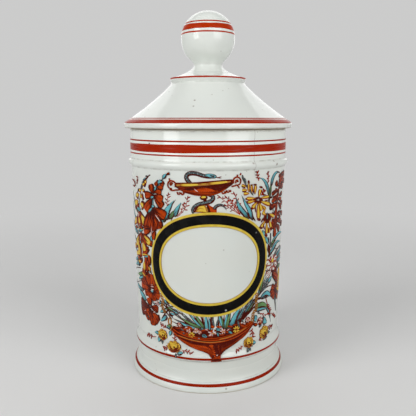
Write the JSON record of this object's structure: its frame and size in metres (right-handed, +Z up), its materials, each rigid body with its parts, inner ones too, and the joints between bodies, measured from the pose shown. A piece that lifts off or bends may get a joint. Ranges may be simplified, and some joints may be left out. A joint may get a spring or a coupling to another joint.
{
  "type": "albarello",
  "caption": "Porcelain pharmacy jar: a slightly flared cylinder with turned beads and a foot ring, closed by a loose conical lid with a ball knob.",
  "frame": {"origin": "centre of the foot ring, on the surface that the jar stands on", "axes": "+Z up along the turning axis, -Y towards the cartouche on the front, +X to the right seen from the front"},
  "size_m": [0.1216, 0.1216, 0.26],
  "materials": {
    "porcelain": "gloss",
    "iron_red_enamel": "gloss",
    "colour_enamel": "gloss",
    "black_enamel": "gloss",
    "gilding": "satin"
  },
  "bodies": {
    "jar": {"jar": "porcelain"},
    "lid": {"lid_cover": "porcelain", "lid_knob": "porcelain"}
  },
  "joints": [
    {"name": "lid_lift", "type": "slide", "parent": "jar", "child": "lid", "axis": [0, 0, 1], "range_m": [0, 0.15]}
  ]
}
